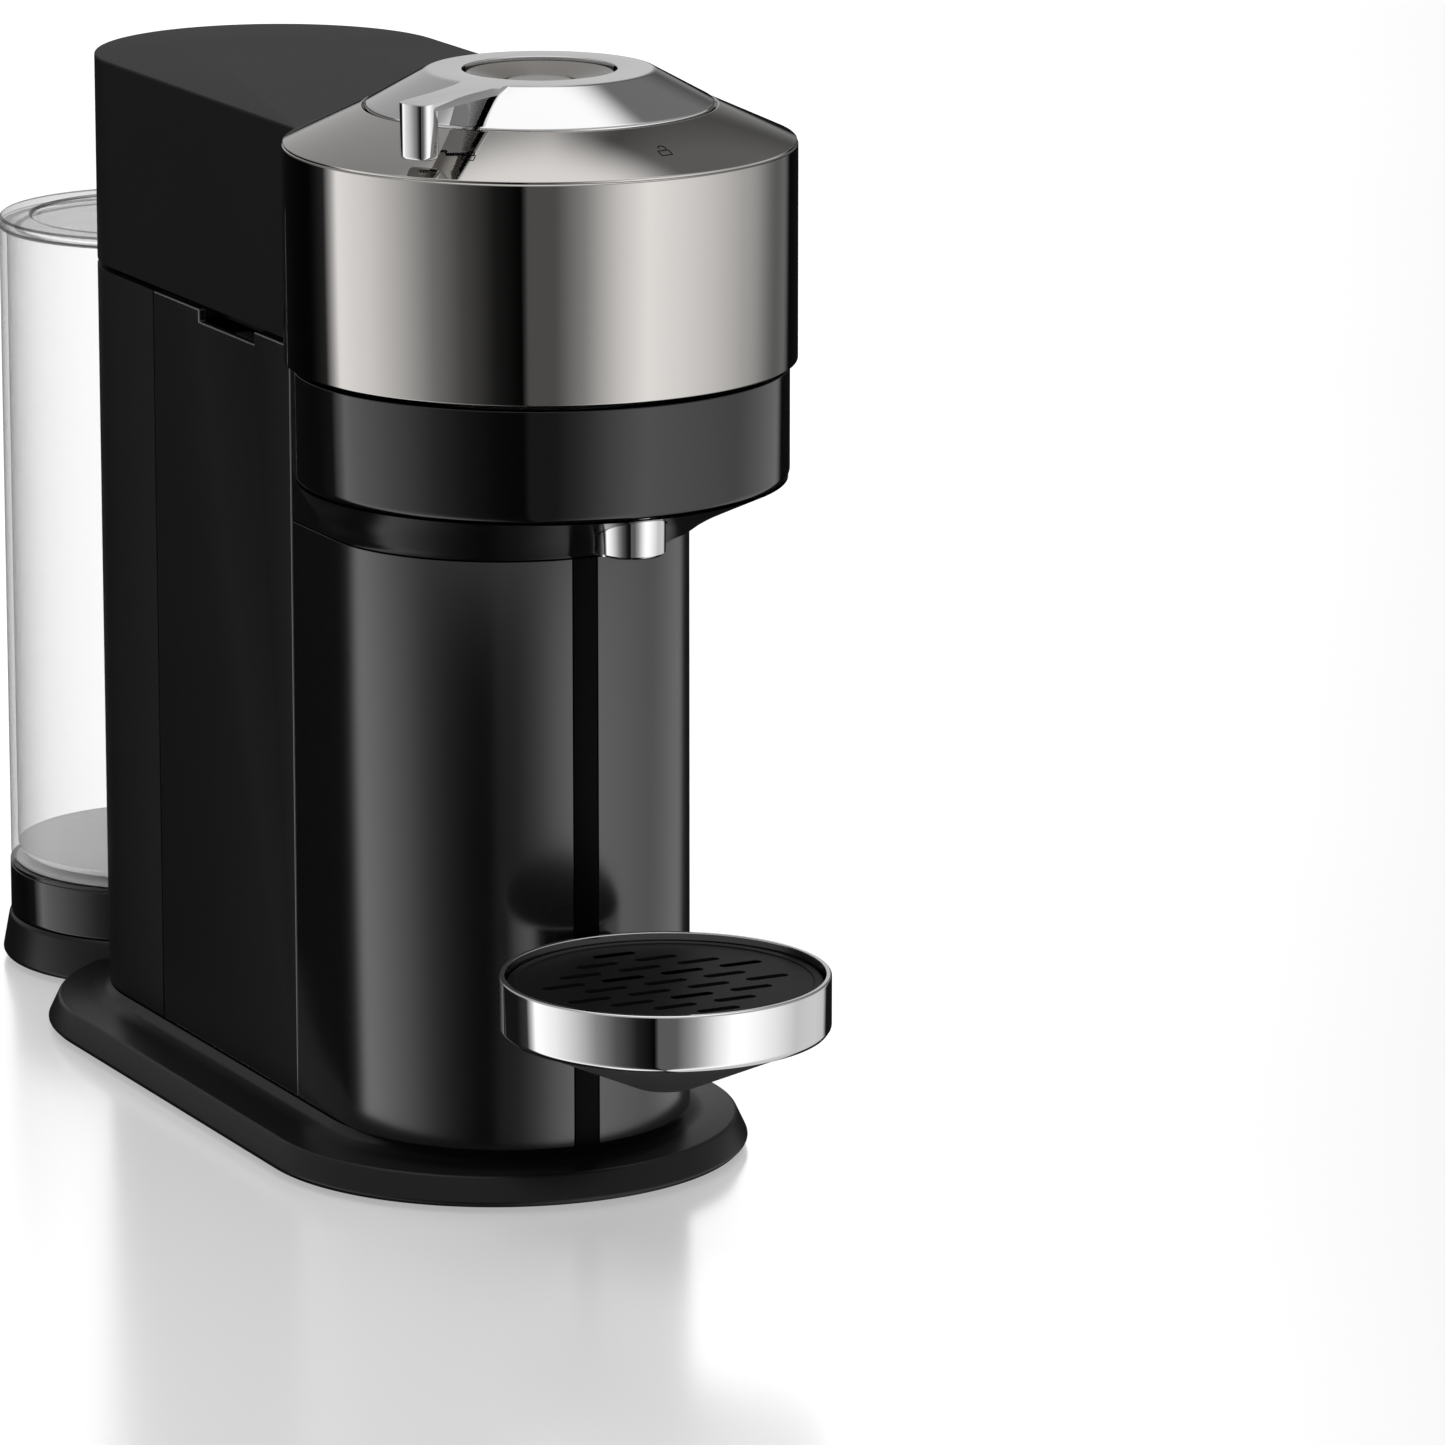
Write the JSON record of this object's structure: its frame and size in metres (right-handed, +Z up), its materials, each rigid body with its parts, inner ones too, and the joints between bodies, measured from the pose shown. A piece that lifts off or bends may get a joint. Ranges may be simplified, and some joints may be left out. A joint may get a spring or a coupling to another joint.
{
  "type": "capsule coffee machine",
  "caption": "Slim capsule coffee machine: round tilting brew head with locking lever, cup tray on a rail, pull-out capsule drawer and round clear rear tank.",
  "frame": {"origin": "middle of the footprint, on the surface the machine stands on", "axes": "+Z up, the machine faces -Y, +Y towards the water tank, +X to the right seen from behind the tray looking at the front"},
  "size_m": [0.142, 0.443, 0.314],
  "materials": {
    "gunmetal": "dark satin chrome plating",
    "chrome": "bright polished chrome",
    "steel": "machined",
    "aluminium": "cast",
    "black_matte": "fine matte moulding",
    "black_satin": "satin",
    "black_gloss": "gloss",
    "dark_grey": "satin",
    "rubber": "matte",
    "board": "solder mask",
    "silicone": "translucent",
    "clear": "clear polished plastic",
    "smoked": "warm grey translucent plastic"
  },
  "bodies": {
    "body": {"base_plate": "black_satin", "bottom_cover": "black_matte", "cover_screw_1": "steel", "cover_screw_2": "steel", "foot_front_left": "rubber", "foot_front_right": "rubber", "foot_rear_left": "rubber", "foot_rear_right": "rubber", "side_panel_left": "black_matte", "side_panel_right": "black_matte", "rear_shell": "black_matte", "column_top": "black_matte", "notch_catch_left": "dark_grey", "notch_catch_right": "dark_grey", "chassis_frame": "dark_grey", "hinge_pin": "steel", "neck_shell": "black_satin", "brew_band": "black_gloss", "coffee_collector": "dark_grey", "spout": "chrome", "rotor_bearing": "steel", "drive_motor": "steel", "drive_belt": "rubber", "heater_block": "aluminium", "water_pump": "steel", "flow_meter": "black_matte", "control_board": "board", "hose_pump_heater": "silicone", "hose_heater_hinge": "silicone", "power_gland": "rubber", "tank_cradle": "black_satin", "cradle_seal": "rubber", "cradle_foot": "rubber"},
    "head": {"head_drum": "gunmetal", "head_rear_shell": "black_matte", "head_frame": "dark_grey", "lever_bearing": "black_matte", "button_board": "board", "display_dish": "smoked", "injector_housing": "black_matte", "injector_needle": "steel"},
    "lever_ring": {"lever": "chrome", "clamp_ring": "steel"},
    "button": {"brew_button": "smoked"},
    "injector": {"injector_rotor": "aluminium"},
    "holder": {"capsule_holder": "aluminium"},
    "motor_shaft": {"motor_pulley": "steel"},
    "drawer": {"front_shell": "black_matte", "rail_strip": "black_gloss", "capsule_bin": "dark_grey"},
    "tray": {"tray_ring": "chrome", "tray_bowl": "dark_grey", "tray_carriage": "black_matte"},
    "grid": {"drip_grid": "black_matte"},
    "tank": {"tank_shell": "clear", "tank_base_ring": "black_gloss", "tank_valve": "black_matte"},
    "lid": {"tank_lid": "clear"},
    "plunger": {"valve_plunger": "rubber"}
  },
  "joints": [
    {"name": "head_tilt", "type": "hinge", "parent": "body", "child": "head", "pos_m": [0, 0.12302, 0.2442], "axis": [-1, 0, 0], "range_deg": [0, 45]},
    {"name": "lever_turn", "type": "hinge", "parent": "head", "child": "lever_ring", "pos_m": [0, -0.09947, 0.3], "axis": [0, 0, 1], "range_deg": [0, 62]},
    {"name": "button_press", "type": "slide", "parent": "head", "child": "button", "axis": [0, 0, -1], "range_m": [0, 0.0015], "stiffness_N_per_m": 300},
    {"name": "capsule_spin", "type": "hinge", "parent": "body", "child": "holder", "pos_m": [0, -0.09947, 0.208], "axis": [0, 0, 1], "continuous": true},
    {"name": "motor_spin", "type": "hinge", "parent": "body", "child": "motor_shaft", "pos_m": [0, 0.00052, 0.208], "axis": [0, 0, 1], "continuous": true},
    {"name": "injector_spin", "type": "hinge", "parent": "head", "child": "injector", "pos_m": [0, -0.09947, 0.24], "axis": [0, 0, 1], "continuous": true},
    {"name": "drawer_slide", "type": "slide", "parent": "body", "child": "drawer", "axis": [0, -1, 0], "range_m": [0, 0.11]},
    {"name": "tray_height", "type": "slide", "parent": "drawer", "child": "tray", "axis": [0, 0, 1], "range_m": [-0.03, 0.055]},
    {"name": "grid_lift", "type": "slide", "parent": "tray", "child": "grid", "axis": [0, 0, 1], "range_m": [0, 0.05]},
    {"name": "tank_off", "type": "slide", "parent": "body", "child": "tank", "axis": [0, 0.866, 0.5], "range_m": [0, 0.13]},
    {"name": "lid_off", "type": "slide", "parent": "tank", "child": "lid", "axis": [0, 0.866, 0.5], "range_m": [0, 0.11]},
    {"name": "valve_press", "type": "slide", "parent": "tank", "child": "plunger", "axis": [0, 0, 1], "range_m": [0, 0.002], "stiffness_N_per_m": 200}
  ],
  "couplings": [
    {"joint": "motor_spin", "follows": "capsule_spin", "ratio": 4.8625},
    {"joint": "injector_spin", "follows": "capsule_spin", "ratio": 1}
  ]
}
